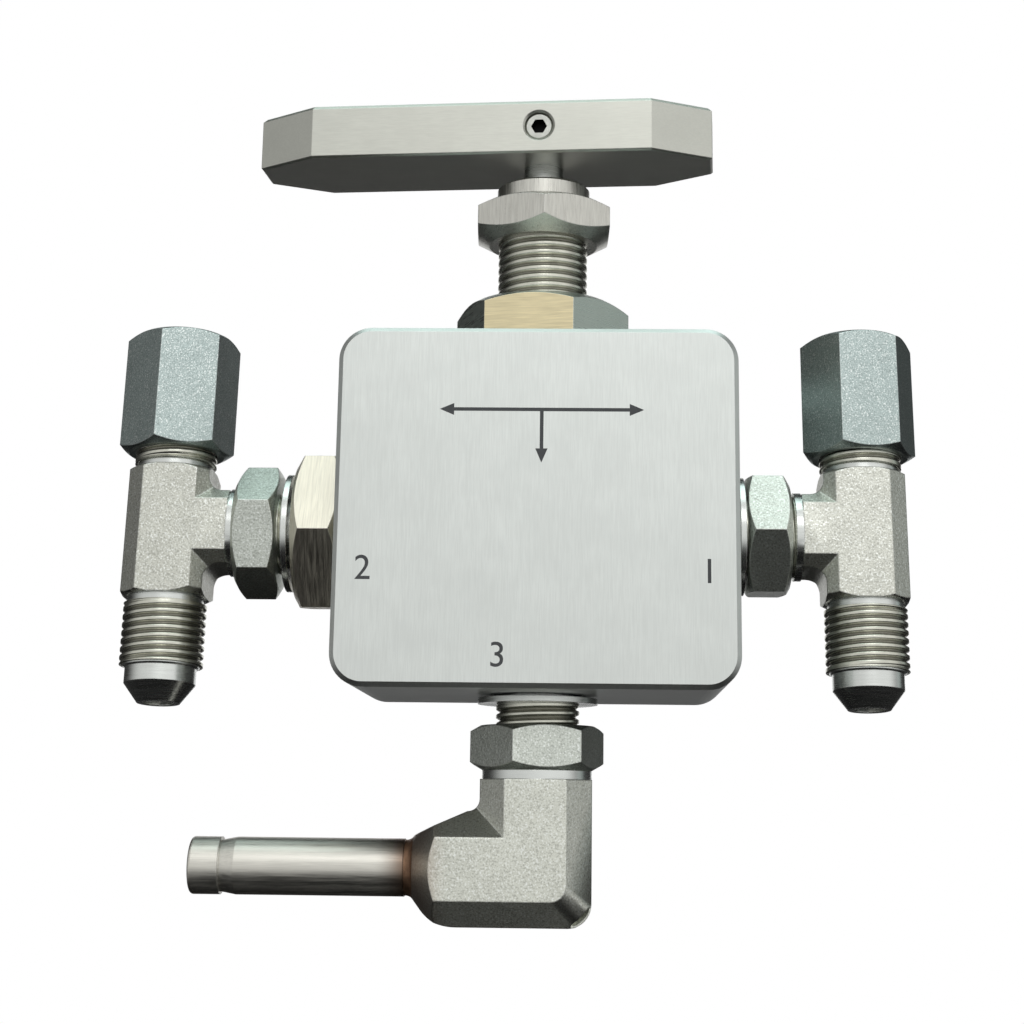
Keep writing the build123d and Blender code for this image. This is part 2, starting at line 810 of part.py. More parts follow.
def tee_pieces(letter, place, washer_gap, nut_gap, nut_turn, tube_nut_turn):
    """The six pieces of one tee fitting, placed at its port."""
    run = Pos(tee_reach, 0, 0)
    return {
        "tee_" + letter: place(make_tee(washer_gap)),
        "tube_nut_" + letter: place(run * make_tube_nut(tube_nut_turn)),
        "flare_sleeve_" + letter: place(run * make_sleeve()),
        "lock_nut_" + letter: place(outward_x(make_lock_nut(nut_gap, nut_turn))),
        "backup_washer_" + letter: place(outward_x(make_backup_washer(washer_gap))),
        "port_ring_" + letter: place(outward_x(make_port_ring())),
    }


def elbow_pieces():
    """The six pieces of the elbow fitting at port C."""
    return {
        "elbow_c": at_port_c(make_elbow()),
        "tube_stub_c": at_port_c(make_stub()),
        "braze_ring_c": at_port_c(make_braze()),
        "lock_nut_c": at_port_c(outward_down(make_lock_nut(port_c_nut_gap, port_c_nut_turn))),
        "backup_washer_c": at_port_c(outward_down(make_backup_washer(port_c_washer_gap))),
        "port_ring_c": at_port_c(outward_down(make_port_ring())),
    }


def valve_pieces():
    """The block, the bonnet, the closure and the working parts between them."""
    return {
        "body_block": make_body_block(),
        "end_adapter": make_end_adapter(),
        "adapter_ring": make_adapter_ring(),
        "seat_a": toward_a(make_seat()),
        "seat_b": toward_b(make_seat()),
        "seat_ring_a": toward_a(make_seat_ring()),
        "seat_ring_b": toward_b(make_seat_ring()),
        "ball": make_ball(),
        "bonnet": make_bonnet(),
        "bonnet_ring": make_bonnet_ring(),
        "stop_pin": make_stop_pin(),
        "thrust_washer": make_thrust_washer(),
        "stem": make_stem(),
        "stem_packing": Compound(children=make_packing()),
        "gland": make_gland(),
        "gland_nut": make_gland_nut(),
        "handle_bar": make_handle(),
        "handle_set_screw": make_set_screw(),
    }


pieces = valve_pieces()
pieces.update(tee_pieces("a", at_port_a, port_a_washer_gap, port_a_nut_gap, port_a_nut_turn, tube_nut_turn_a))
pieces.update(tee_pieces("b", at_port_b, port_b_washer_gap, port_b_nut_gap, port_b_nut_turn, tube_nut_turn_b))
pieces.update(elbow_pieces())
for name, piece in pieces.items():
    export_step(piece, "parts/" + name + ".step")
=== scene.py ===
"""The looks of a three-way ball valve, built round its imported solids, with studio and camera."""

import logging
import math
from collections.abc import Callable
from dataclasses import dataclass
from enum import Enum
from functools import partialmethod

import bmesh
import bpy
from bpy.types import ID, Material, Node, NodeOutputs, NodeTree, Object
from bpy.types import NodeSocket as Socket
from mathutils import Matrix, Vector


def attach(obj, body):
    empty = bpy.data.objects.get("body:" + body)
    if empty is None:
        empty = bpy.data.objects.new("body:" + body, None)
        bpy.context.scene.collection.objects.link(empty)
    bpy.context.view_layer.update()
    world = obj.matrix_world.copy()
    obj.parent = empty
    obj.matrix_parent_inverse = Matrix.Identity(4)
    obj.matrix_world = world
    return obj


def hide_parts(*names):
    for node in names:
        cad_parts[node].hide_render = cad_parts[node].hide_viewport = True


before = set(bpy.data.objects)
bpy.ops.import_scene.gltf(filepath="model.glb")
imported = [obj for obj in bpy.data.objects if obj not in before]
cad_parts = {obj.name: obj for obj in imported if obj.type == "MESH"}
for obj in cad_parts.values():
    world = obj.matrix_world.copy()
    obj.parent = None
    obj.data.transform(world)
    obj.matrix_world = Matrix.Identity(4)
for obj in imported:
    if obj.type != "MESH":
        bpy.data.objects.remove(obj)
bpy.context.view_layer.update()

log = logging.getLogger("valve")

MM = 0.001
WELD_DISTANCE = 1e-7
NODE_WELD_DISTANCE = 1e-6
SMOOTH_BELOW_DEGREES = 32

Colour = tuple[float, float, float]
Triple = tuple[float, float, float]
Band = tuple[float, float]


class Grain(Enum):
    """The ways a surface was brushed or turned, as cycles per millimetre along X, Y and Z."""

    UPRIGHT = (5.5, 5.5, 0.3)
    ALONG_BAR = (0.2, 5.0, 5.0)
    ROUND_Z = (0.22, 0.22, 5.0)
    ROUND_X = (5.0, 0.22, 0.22)


def srgb(*display: float) -> Colour:
    """Turn display values from 0 to 255 into the linear colour a shader takes."""
    shares = [value / 255 for value in display]
    return tuple(s / 12.92 if s <= 0.04045 else ((s + 0.055) / 1.055) ** 2.4 for s in shares)


def shade(colour: Colour, factor: float) -> Colour:
    """A colour times a factor, with no channel over 1."""
    return tuple(min(1.0, channel * factor) for channel in colour)


class Tree:
    """A node tree under construction, with short calls for adding and joining nodes."""

    def __init__(self, tree: NodeTree) -> None:
        """Keep the tree and clear it."""
        self.tree = tree
        tree.nodes.clear()

    def add(self, kind: str, inputs: dict | None = None, **settings: object) -> Node:
        """Add one node, set its properties, and set or join its inputs.

        Args:
            kind: Blender's name of the node type.
            inputs: Values or output sockets, by input name or number.
            settings: Properties of the node.

        Returns:
            The new node.
        """
        node = self.tree.nodes.new(kind)
        for name, value in settings.items():
            setattr(node, name, value)
        for key, value in (inputs or {}).items():
            if isinstance(value, Socket):
                self.tree.links.new(value, node.inputs[key])
            else:
                node.inputs[key].default_value = value
        return node

    def maths(self, operation: str, *values: object, clamp: bool = False) -> Socket:
        """Add a Math node with numbers or sockets as its inputs in order, and give its output."""
        inputs = dict(enumerate(values))
        return self.add("ShaderNodeMath", inputs, operation=operation, use_clamp=clamp).outputs[0]

    plus = partialmethod(maths, "ADD")
    minus = partialmethod(maths, "SUBTRACT")
    times = partialmethod(maths, "MULTIPLY")

    def vector(self, operation: str, *values: object, output: str = "Vector") -> Socket:
        """Add a Vector Math node with vectors or sockets as its inputs, and give one output."""
        node = self.add("ShaderNodeVectorMath", dict(enumerate(values)), operation=operation)
        return node.outputs[output]

    def mix(self, share: object, low: object, high: object) -> Socket:
        """Mix two colours.

        Args:
            share: Share of the second colour, as a number or socket.
            low: Colour where the share is 0.
            high: Colour where the share is 1.

        Returns:
            The mixed colour's socket.
        """
        colours = [c if isinstance(c, Socket) else (*c, 1) for c in (low, high)]
        inputs = {0: share, 6: colours[0], 7: colours[1]}
        return self.add("ShaderNodeMix", inputs, data_type="RGBA", clamp_factor=True).outputs[2]

    def ramp(self, value: Socket, low: float, high: float) -> Socket:
        """Stretch a value smoothly so that low becomes 0 and high becomes 1, held between them."""
        inputs = {"Value": value, "From Min": low, "From Max": high, "To Min": 0.0, "To Max": 1.0}
        return self.add("ShaderNodeMapRange", inputs, interpolation_type="SMOOTHSTEP").outputs[0]

    def noise(self, place: Socket, scale: object, detail: float) -> Socket:
        """Add a Noise Texture that reads a place, and give its value."""
        inputs = {"Vector": place, "Scale": scale, "Detail": detail}
        return self.add("ShaderNodeTexNoise", inputs).outputs[0]


def new_group(name: str, inputs: dict, outputs: dict) -> tuple[Tree, NodeOutputs]:
    """Start a shader node group.

    Args:
        name: The group's name.
        inputs: Default of each input by name: a number, or three numbers for a vector.
        outputs: The same for each output.

    Returns:
        The group's tree and what its input node gives.
    """
    group = bpy.data.node_groups.new(name, "ShaderNodeTree")
    for way, sockets in (("INPUT", inputs), ("OUTPUT", outputs)):
        for key, default in sockets.items():
            kind = "NodeSocketVector" if isinstance(default, tuple) else "NodeSocketFloat"
            socket = group.interface.new_socket(name=key, in_out=way, socket_type=kind)
            socket.default_value = default
    tree = Tree(group)
    return tree, tree.add("NodeGroupInput").outputs


class SurfaceEffects:
    """The shared effects: brushed grain, forged pebble, cloudy tone and worn edges, in groups."""

    STREAK_BAND = (0.32, 0.68)
    SCRATCH_BAND = (0.66, 0.8)
    WIDE_SCALE = 0.4
    WIDE_SHARE = 0.25
    CELL_DEPTH = -0.6
    LUMP_SCALE = 0.45
    SPECK_SCALE = 1.25
    SPECK_BAND = (0.56, 0.7)
    PIT_BAND = (0.46, 0.32)
    CLOUD_BAND = (0.3, 0.7)
    WEAR_BAND = (0.01, 0.16)

    def __init__(self) -> None:
        """Build the four groups."""
        self.grain = self.build_grain()
        self.pebble = self.build_pebble()
        self.clouds = self.build_clouds()
        self.edges = self.build_edges()

    def build_grain(self) -> NodeTree:
        """Build the brushed grain: fine streaks with a few deeper ones.

        Returns:
            The node group.
        """
        inputs = {"Position": (0, 0, 0), "Cycles": (4, 4, 0.1)}
        tree, source = new_group("Brushed grain", inputs, {"Streaks": 0.0, "Scratches": 0.0})
        stretched = tree.vector("MULTIPLY", source["Position"], source["Cycles"])
        fine = tree.noise(stretched, 1.0, 3.0)
        wide = tree.noise(stretched, self.WIDE_SCALE, 2.0)
        fine_part = tree.times(fine, 1 - self.WIDE_SHARE)
        wide_part = tree.times(wide, self.WIDE_SHARE)
        streaks = tree.ramp(tree.plus(fine_part, wide_part), *self.STREAK_BAND)
        scratches = tree.ramp(fine, *self.SCRATCH_BAND)
        tree.add("NodeGroupOutput", {"Streaks": streaks, "Scratches": scratches})
        return tree.tree

    def build_pebble(self) -> NodeTree:
        """Build the forged pebble: rounded grains with bright specks and dark pits.

        Returns:
            The node group.
        """
        inputs = {"Position": (0, 0, 0), "Grain Size": 0.35}
        outputs = {"Height": 0.0, "Specks": 0.0, "Pits": 0.0}
        tree, source = new_group("Forged pebble", inputs, outputs)
        place = source["Position"]
        cycles = tree.maths("DIVIDE", 1.0, source["Grain Size"])
        grains = {"Vector": place, "Scale": cycles}
        cells = tree.add("ShaderNodeTexVoronoi", grains, feature="SMOOTH_F1").outputs["Distance"]
        lumps = tree.noise(place, tree.times(cycles, self.LUMP_SCALE), 3.0)
        height = tree.plus(tree.times(cells, self.CELL_DEPTH), lumps)
        glint = tree.noise(place, tree.times(cycles, self.SPECK_SCALE), 1.0)
        specks = tree.ramp(glint, *self.SPECK_BAND)
        pits = tree.ramp(glint, *self.PIT_BAND)
        tree.add("NodeGroupOutput", {"Height": height, "Specks": specks, "Pits": pits})
        return tree.tree

    def build_clouds(self) -> NodeTree:
        """Build the cloudy tone: handling marks some millimetres across.

        Returns:
            The node group.
        """
        inputs = {"Position": (0, 0, 0), "Size": 7.0}
        tree, source = new_group("Cloudy tone", inputs, {"Cloud": 0.0})
        cycles = tree.maths("DIVIDE", 1.0, source["Size"])
        cloud = tree.noise(source["Position"], cycles, 4.0)
        tree.add("NodeGroupOutput", {"Cloud": tree.ramp(cloud, *self.CLOUD_BAND)})
        return tree.tree

    def build_edges(self) -> NodeTree:
        """Build the worn edge: a rounded normal near sharp edges and a mask of where it turns.

        Returns:
            The node group.
        """
        outputs = {"Mask": 0.0, "Normal": (0, 0, 0)}
        tree, source = new_group("Worn edge", {"Width": 0.0003}, outputs)
        rounded = tree.add("ShaderNodeBevel", {"Radius": source["Width"]}, samples=6).outputs[0]
        flat = tree.add("ShaderNodeNewGeometry").outputs["Normal"]
        turned = tree.vector("DOT_PRODUCT", rounded, flat, output="Value")
        mask = tree.ramp(tree.minus(1.0, turned), *self.WEAR_BAND)
        tree.add("NodeGroupOutput", {"Mask": mask, "Normal": rounded})
        return tree.tree


class Surface(Tree):
    """A material's tree, with the position on its piece and the shared effects."""

    def __init__(self, tree: NodeTree, effects: SurfaceEffects) -> None:
        """Start the tree with the position in millimetres.

        Args:
            tree: The material's node tree.
            effects: The shared node groups.
        """
        super().__init__(tree)
        self.effects = effects
        place = self.add("ShaderNodeTexCoord").outputs["Object"]
        self.place = self.vector("MULTIPLY", place, (1 / MM,) * 3)

    def effect(self, group: NodeTree, **inputs: object) -> NodeOutputs:
        """Lay a shared effect on the piece and give its outputs. A _ is a space in an input."""
        rest = {key.replace("_", " "): value for key, value in inputs.items()}
        return self.add("ShaderNodeGroup", rest | {"Position": self.place}, node_tree=group).outputs

    def bump(self, height: Socket, relief: float, **normal: Socket) -> Socket:
        """Raise the surface, or its rounded Normal, by a height times the relief in millimetres."""
        inputs = {"Height": height, "Distance": relief * MM, "Strength": 1.0, **normal}
        return self.add("ShaderNodeBump", inputs).outputs[0]


@dataclass(frozen=True)
class HeatTint:
    """The colour that brazing leaves on steel, fading along X with distance from the joint."""

    colour: Colour = (0.19, 0.12, 0.08)
    full_at: float = -21.0
    gone_at: float = -27.0
    share: float = 1.0

    def lay_on(self, tree: Surface, colour: Socket) -> Socket:
        """Mix the tint into a colour.

        Args:
            tree: The material's tree.
            colour: The colour under the tint.

        Returns:
            The tinted colour's socket.
        """
        x = tree.add("ShaderNodeSeparateXYZ", {0: tree.place}).outputs["X"]
        near = tree.ramp(x, self.gone_at, self.full_at)
        return tree.mix(tree.times(near, self.share), colour, self.colour)


@dataclass(frozen=True)
class Finish:
    """What every finish has: a name, a mid colour, a roughness and perhaps a heat tint."""

    name: str
    colour: Colour
    roughness: float
    metallic: float = 1.0
    tint: HeatTint | None = None

    def looks(self, tree: Surface) -> dict[str, Socket]:
        """Build the sockets that the shader reads, by the names of its inputs."""
        raise NotImplementedError

    def material(self, effects: SurfaceEffects) -> Material:
        """Build the material.

        Args:
            effects: The shared node groups.

        Returns:
            The material.
        """
        material = bpy.data.materials.new(self.name)
        material.use_nodes = True
        tree = Surface(material.node_tree, effects)
        inputs = {"Metallic": self.metallic, "Roughness": self.roughness}
        shader = tree.add("ShaderNodeBsdfPrincipled", inputs)
        tree.add("ShaderNodeOutputMaterial", {"Surface": shader.outputs[0]})
        looks = self.looks(tree)
        if self.tint:
            looks["Base Color"] = self.tint.lay_on(tree, looks["Base Color"])
        for name, socket in looks.items():
            tree.tree.links.new(socket, shader.inputs[name])
        return material


@dataclass(frozen=True)
class WornFinish(Finish):
    """Steel with slightly rounded edges, lightened in colour for wear and as a painted highlight.
    """

    edge_width: float = 0.2
    edge_wear_and_highlight: float = 0.35
    # Near white: the colour of worn metal and of a painted highlight on the edges.
    edge_wear_and_highlight_colour: Colour = (0.95, 0.96, 0.95)

    def finish_edges(self, tree: Surface, colour: Socket) -> tuple[Socket, Socket]:
        """Lighten the edges of a colour, for wear and as a painted highlight.

        Args:
            tree: The material's tree.
            colour: The colour so far.

        Returns:
            The colour with bright edges, and the rounded normal.
        """
        width = {"Width": self.edge_width * MM}
        worn = tree.add("ShaderNodeGroup", width, node_tree=tree.effects.edges).outputs
        # Painted highlight and wear: the edges are mixed toward near white.
        share = tree.times(worn["Mask"], self.edge_wear_and_highlight)
        return tree.mix(share, colour, self.edge_wear_and_highlight_colour), worn["Normal"]


@dataclass(frozen=True)
class BrushedFinish(WornFinish):
    """Brushed or turned steel with streaks along its grain."""

    grain: Grain = Grain.UPRIGHT
    contrast: float = 0.12
    relief: float = 0.02
    swing: float = 0.16
    cloud_size: float = 6.0
    cloud_share: float = 0.3
    cloud_shade: float = 0.875

    def looks(self, tree: Surface) -> dict[str, Socket]:
        """Streak the colour, roughness and relief along the grain.

        Args:
            tree: The material's tree.

        Returns:
            What the shader reads, by the names of its inputs.
        """
        streak = tree.effect(tree.effects.grain, Cycles=self.grain.value)
        cloud = tree.effect(tree.effects.clouds, Size=self.cloud_size)["Cloud"]
        streaks = streak["Streaks"]
        dark, bright = (shade(self.colour, 1 + side * self.contrast) for side in (-1, 1))
        colour = tree.mix(streaks, dark, bright)
        dimmed = shade(self.colour, self.cloud_shade)
        colour = tree.mix(tree.times(cloud, self.cloud_share), colour, dimmed)
        colour, normal = self.finish_edges(tree, colour)
        change = tree.times(tree.minus(streaks, 0.5), self.swing)
        height = tree.minus(streaks, streak["Scratches"])
        return {
            "Base Color": colour,
            "Roughness": tree.plus(change, self.roughness),
            "Normal": tree.bump(height, self.relief, Normal=normal),
        }


@dataclass(frozen=True)
class ForgedFinish(WornFinish):
    """Forged, blasted and plated steel: pebbled, with glints painted as bright specks."""

    grain_size: float = 0.36
    relief: float = 0.05
    cloud_size: float = 4.0
    cloud_shade: float = 0.92
    pits: float = 0.5
    pit_shade: float = 0.45
    painted_glint: float = 0.6
    painted_glint_colour: Colour = (0.92, 0.95, 0.93)
    sparkle_gloss: float = 0.04

    def looks(self, tree: Surface) -> dict[str, Socket]:
        """Pebble the relief, and put pits and painted glints, as bright specks, in the colour.

        Args:
            tree: The material's tree.

        Returns:
            What the shader reads, by the names of its inputs.
        """
        pebble = tree.effect(tree.effects.pebble, Grain_Size=self.grain_size)
        cloud = tree.effect(tree.effects.clouds, Size=self.cloud_size)["Cloud"]
        colour = tree.mix(cloud, shade(self.colour, self.cloud_shade), self.colour)
        pits = tree.times(pebble["Pits"], self.pits)
        colour = tree.mix(pits, colour, shade(self.colour, self.pit_shade))
        # Painted glint: bright specks mixed into the colour.
        specks = tree.times(pebble["Specks"], self.painted_glint)
        colour = tree.mix(specks, colour, self.painted_glint_colour)
        colour, normal = self.finish_edges(tree, colour)
        gloss = tree.times(pebble["Specks"], self.sparkle_gloss)
        return {
            "Base Color": colour,
            "Roughness": tree.minus(self.roughness, gloss),
            "Normal": tree.bump(pebble["Height"], self.relief, Normal=normal),
        }


@dataclass(frozen=True)
class PlainFinish(Finish):
    """Rubber, plastic, the socket's oxide with painted shade, or etched marks: a cloudy tone with a
    fine tooth.
    """

    contrast: float = 0.15
    cloud_size: float = 1.5
    tooth: float = 0.01
    tooth_size: float = 0.2

    def looks(self, tree: Surface) -> dict[str, Socket]:
        """Cloud the colour and roughen the relief.

        Args:
            tree: The material's tree.

        Returns:
            What the shader reads, by the names of its inputs.
        """
        cloud = tree.effect(tree.effects.clouds, Size=self.cloud_size)["Cloud"]
        pebble = tree.effect(tree.effects.pebble, Grain_Size=self.tooth_size)
        dark = shade(self.colour, 1 - self.contrast)
        return {
            "Base Color": tree.mix(cloud, dark, self.colour),
            "Normal": tree.bump(pebble["Height"], self.tooth),
        }


@dataclass(frozen=True)
class ThreadFinish(Finish):
    """Rolled thread: bright crests, and grooves darkened with painted shade."""

    # Painted shade: the colour that the grooves darken toward.
    groove_shade_colour: Colour = (0.2, 0.195, 0.165)
    groove_shade_share: float = 0.8
    groove_band: Band = (0.35, 1.0)
    cloud_size: float = 2.0
    cloud_shade: float = 0.85

    def looks(self, tree: Surface) -> dict[str, Socket]:
        """Paint shade into the grooves, darker with the depth that the thread's own tree stores.

        Args:
            tree: The material's tree.

        Returns:
            What the shader reads, by the names of its inputs.
        """
        depth = tree.add("ShaderNodeAttribute", attribute_name="groove").outputs["Fac"]
        cloud = tree.effect(tree.effects.clouds, Size=self.cloud_size)["Cloud"]
        # Painted shade: the colour darkens toward each groove's root.
        groove_shade = tree.ramp(depth, *self.groove_band)
        dimmed = tree.times(groove_shade, self.groove_shade_share)
        crest = tree.mix(cloud, self.colour, shade(self.colour, self.cloud_shade))
        return {"Base Color": tree.mix(dimmed, crest, self.groove_shade_colour)}


class Palette:
    """Every finish of the valve, built once and handed out by name."""

    def __init__(self, effects: SurfaceEffects) -> None:
        """Build the materials of all the finishes."""
        self.materials = {finish.name: finish.material(effects) for finish in self.finishes()}

    def finishes(self) -> list[Finish]:
        """List the finishes.

        Returns:
            All the finishes of the valve.
        """
        steel = srgb(214, 217, 214)
        turned = {"contrast": 0.05, "relief": 0.0003, "swing": 0.06}
        plated = {"edge_width": 0.4, "edge_wear_and_highlight": 0.15}
        elbow_tint = HeatTint((0.32, 0.2, 0.14), full_at=-20.0, gone_at=-14.0, share=0.6)
        return [
            BrushedFinish("Block brushed", srgb(214, 218, 215), 0.4, grain=Grain.UPRIGHT,
                          contrast=0.045, relief=0.0008, swing=0.04, edge_width=0.06),
            BrushedFinish("Bonnet brushed", srgb(216, 204, 168), 0.4, grain=Grain.ROUND_Z,
                          contrast=0.13, relief=0.005),
            BrushedFinish("Adapter brushed", srgb(232, 226, 211), 0.37, grain=Grain.ROUND_X,
                          contrast=0.1, relief=0.003),
            BrushedFinish("Gland nut satin", srgb(205, 204, 197), 0.34, grain=Grain.UPRIGHT,
                          contrast=0.16, relief=0.004),
            BrushedFinish("Handle brushed", srgb(196, 197, 189), 0.38, grain=Grain.ALONG_BAR,
                          contrast=0.045, relief=0.0008, swing=0.05),
            ForgedFinish("Forging plated", srgb(200, 201, 192), 0.4, relief=0.04, **plated),
            ForgedFinish("Lock nut plated", srgb(206, 211, 203), 0.38, relief=0.04,
                         edge_width=0.25, edge_wear_and_highlight=0.3),
            ForgedFinish("Tube nut plated", srgb(170, 183, 181), 0.36, relief=0.022,
                         edge_width=0.25, grain_size=0.3),
            BrushedFinish("Turned bright", steel, 0.26, grain=Grain.ROUND_Z, **turned),
            BrushedFinish("Turned across", steel, 0.26, grain=Grain.ROUND_X, **turned),
            BrushedFinish("Bonnet smooth", srgb(205, 214, 206), 0.32, grain=Grain.ROUND_Z,
                          contrast=0.05, relief=0.001),
            ThreadFinish("Thread rolled", srgb(214, 214, 202), 0.26),
            BrushedFinish("Tube polished", srgb(214, 212, 204), 0.39, grain=Grain.ALONG_BAR,
                          relief=0.001, tint=HeatTint()),
            ForgedFinish("Forging heat tinted", srgb(216, 218, 208), 0.35, relief=0.026,
                         tint=elbow_tint, **plated),
            # The socket's colour: black oxide, darkened further as painted shade in the recess.
            PlainFinish("Socket oxide and painted shade", srgb(34, 34, 35), 0.5, 1.0),
            PlainFinish("Braze heat tint", srgb(140, 110, 88), 0.45, 0.9, contrast=0.4, tooth=0.04),
            PlainFinish("Set screw steel", srgb(188, 190, 184), 0.3, 1.0),
            PlainFinish("Seal rubber", srgb(28, 28, 29), 0.6, 0.0),
            PlainFinish("Tan plastic", srgb(222, 208, 176), 0.45, 0.0),
            PlainFinish("Packing plastic", srgb(236, 235, 230), 0.5, 0.0),
            PlainFinish("Etched mark", srgb(74, 76, 78), 0.6, 0.3),
        ]

    def dress(self, piece: Object, finish: str) -> None:
        """Give a piece the one material of a finish."""
        piece.data.materials.clear()
        piece.data.materials.append(self.materials[finish])


def new_object(name: str, data: ID) -> Object:
    """Put a new object in the scene.

    Args:
        name: The object's name.
        data: Its mesh, curve, light or camera.

    Returns:
        The object, at the origin.
    """
    made = bpy.data.objects.new(name, data)
    bpy.context.scene.collection.objects.link(made)
    return made


def plain_mesh(holder: Object, place: Matrix) -> Object:
    """Turn what an object's modifiers or curve make into a plain mesh, its place in the mesh.

    Args:
        holder: The object to evaluate.
        place: Where the mesh goes, in metres.

    Returns:
        The finished object, at the origin.
    """
    name = holder.name
    graph = bpy.context.evaluated_depsgraph_get()
    mesh = bpy.data.meshes.new_from_object(holder.evaluated_get(graph), depsgraph=graph)
    bpy.data.objects.remove(holder)
    mesh.transform(place)
    work = bmesh.new()
    work.from_mesh(mesh)
    bmesh.ops.remove_doubles(work, verts=work.verts, dist=WELD_DISTANCE)
    bmesh.ops.recalc_face_normals(work, faces=work.faces)
    work.to_mesh(mesh)
    work.free()
    mesh.name = name
    return new_object(name, mesh)


def shift(x: float, y: float, z: float) -> Matrix:
    """A move in millimetres, as a matrix in metres."""
    return Matrix.Translation(Vector((x, y, z)) * MM)


def turn(degrees: float, axis: str) -> Matrix:
    """A turn about an axis."""
    return Matrix.Rotation(math.radians(degrees), 4, axis)


@dataclass
class ScrewThread:
    """A rolled screw thread as a closed sleeve, made by a Geometry Nodes tree."""

    major_diameter: float
    pitch: float
    low: float
    high: float
    depth: float = 0.6
    sleeve: float = 0.25
    run_out: float = 1.3
    facets: int = 96
    rows_per_pitch: int = 16

    CREST_BAND = (0.05, 0.72)
    PITCHES_BELOW = 100.0

    @property
    def root_radius(self) -> float:
        """The radius at the bottom of the groove."""
        return self.major_diameter / 2 - self.depth

    def new_tree(self) -> tuple[Tree, NodeOutputs]:
        """Start the Geometry Nodes tree with its named inputs.

        Returns:
            The tree and what its input node gives.
        """
        group = bpy.data.node_groups.new("Screw thread", "GeometryNodeTree")
        kinds = {
            "NodeSocketGeometry": ("Geometry",),
            "NodeSocketFloat": ("Radius", "Depth", "Pitch", "Low", "High", "Bore", "Run Out"),
            "NodeSocketInt": ("Rows", "Facets"),
            "NodeSocketMaterial": ("Material",),
        }
        face = group.interface
        for kind, names in kinds.items():
            for name in names:
                face.new_socket(name=name, in_out="INPUT", socket_type=kind)
        face.new_socket(name="Geometry", in_out="OUTPUT", socket_type="NodeSocketGeometry")
        tree = Tree(group)
        return tree, tree.add("NodeGroupInput").outputs

    def tree(self) -> NodeTree:
        """Build the node tree, or find it if it is already built.

        A grid is rolled into a sleeve. Its rows climb the thread from low to high, while the
        first row and the last two lie on the bore and close it.

        Returns:
            The Geometry Nodes tree.
        """
        found = bpy.data.node_groups.get("Screw thread")
        if found:
            return found
        tree, source = self.new_tree()
        maths, plus, minus, times = tree.maths, tree.plus, tree.minus, tree.times
        rows, low, high, run_out = (source[key] for key in ("Rows", "Low", "High", "Run Out"))
        sizes = {"Size X": 1.0, "Size Y": 1.0, "Vertices X": plus(rows, 3.0)}
        sizes["Vertices Y"] = plus(source["Facets"], 1.0)
        grid = tree.add("GeometryNodeMeshGrid", sizes)
        position = tree.add("GeometryNodeInputPosition").outputs[0]
        place = tree.add("ShaderNodeSeparateXYZ", {0: position}).outputs
        along = times(plus(place["X"], 0.5), plus(rows, 2.0))
        row = maths("ROUND", along)
        turns = plus(place["Y"], 0.5)

        climb = minus(row, 1.0)
        share = maths("DIVIDE", climb, minus(rows, 1.0), clamp=True)
        is_last = maths("GREATER_THAN", row, plus(rows, 1.5))
        share = times(share, minus(1.0, is_last))
        height = plus(low, times(share, minus(high, low)))
        is_first = maths("LESS_THAN", row, 0.5)
        is_past_top = maths("GREATER_THAN", row, plus(rows, 0.5))
        is_inner = plus(is_first, is_past_top, clamp=True)

        wound = minus(maths("DIVIDE", height, source["Pitch"]), turns)
        phase = maths("FRACT", plus(wound, self.PITCHES_BELOW))
        off_crest = maths("ABSOLUTE", minus(times(phase, 2.0), 1.0))
        ridge = tree.ramp(off_crest, *self.CREST_BAND)
        from_low = maths("DIVIDE", minus(height, low), run_out, clamp=True)
        from_high = maths("DIVIDE", minus(high, height), run_out, clamp=True)
        fade = times(from_low, from_high)
        groove = times(minus(1.0, ridge), fade)
        outer = minus(source["Radius"], times(groove, source["Depth"]))
        outer_part = times(minus(1.0, is_inner), outer)
        inner_part = times(is_inner, source["Bore"])
        radius = plus(outer_part, inner_part)

        angle = times(turns, 2 * math.pi)
        x = times(radius, maths("COSINE", angle))
        y = times(radius, maths("SINE", angle))
        wrapped = tree.add("ShaderNodeCombineXYZ", {0: x, 1: y, 2: height}).outputs[0]
        steps = (
            ("StoreNamedAttribute", {"Name": "groove", "Value": groove}),
            ("SetPosition", {"Position": wrapped}),
            ("MergeByDistance", {"Distance": WELD_DISTANCE}),
            ("SetShadeSmooth", {}),
            ("RealizeInstances", {}),
            ("SetMaterial", {"Material": source["Material"]}),
        )
        made = grid.outputs[0]
        for kind, inputs in steps:
            made = tree.add("GeometryNode" + kind, {0: made, **inputs}).outputs[0]
        tree.add("NodeGroupOutput", {0: made})
        return tree.tree

    def build(self, name: str, place: Matrix, material: Material) -> Object:
        """Make the thread's piece.

        Args:
            name: The piece's name.
            place: Where the thread's own axis stands, in metres.
            material: The thread's material.

        Returns:
            The finished piece, its place in its mesh.
        """
        holder = new_object(name, bpy.data.meshes.new(name))
        modifier = holder.modifiers.new("Thread", "NODES")
        modifier.node_group = self.tree()
        lengths = {
            "Radius": self.major_diameter / 2,
            "Depth": self.depth,
            "Pitch": self.pitch,
            "Low": self.low,
            "High": self.high,
            "Bore": self.root_radius - self.sleeve,
            "Run Out": self.run_out,
        }
        values = {key: length * MM for key, length in lengths.items()}
        values["Rows"] = round((self.high - self.low) / self.pitch * self.rows_per_pitch)
        values["Facets"] = self.facets
        values["Material"] = material
        for item in modifier.node_group.interface.items_tree:
            if item.in_out == "INPUT" and item.name in values:
                modifier[item.identifier] = values[item.name]
        return plain_mesh(holder, place)


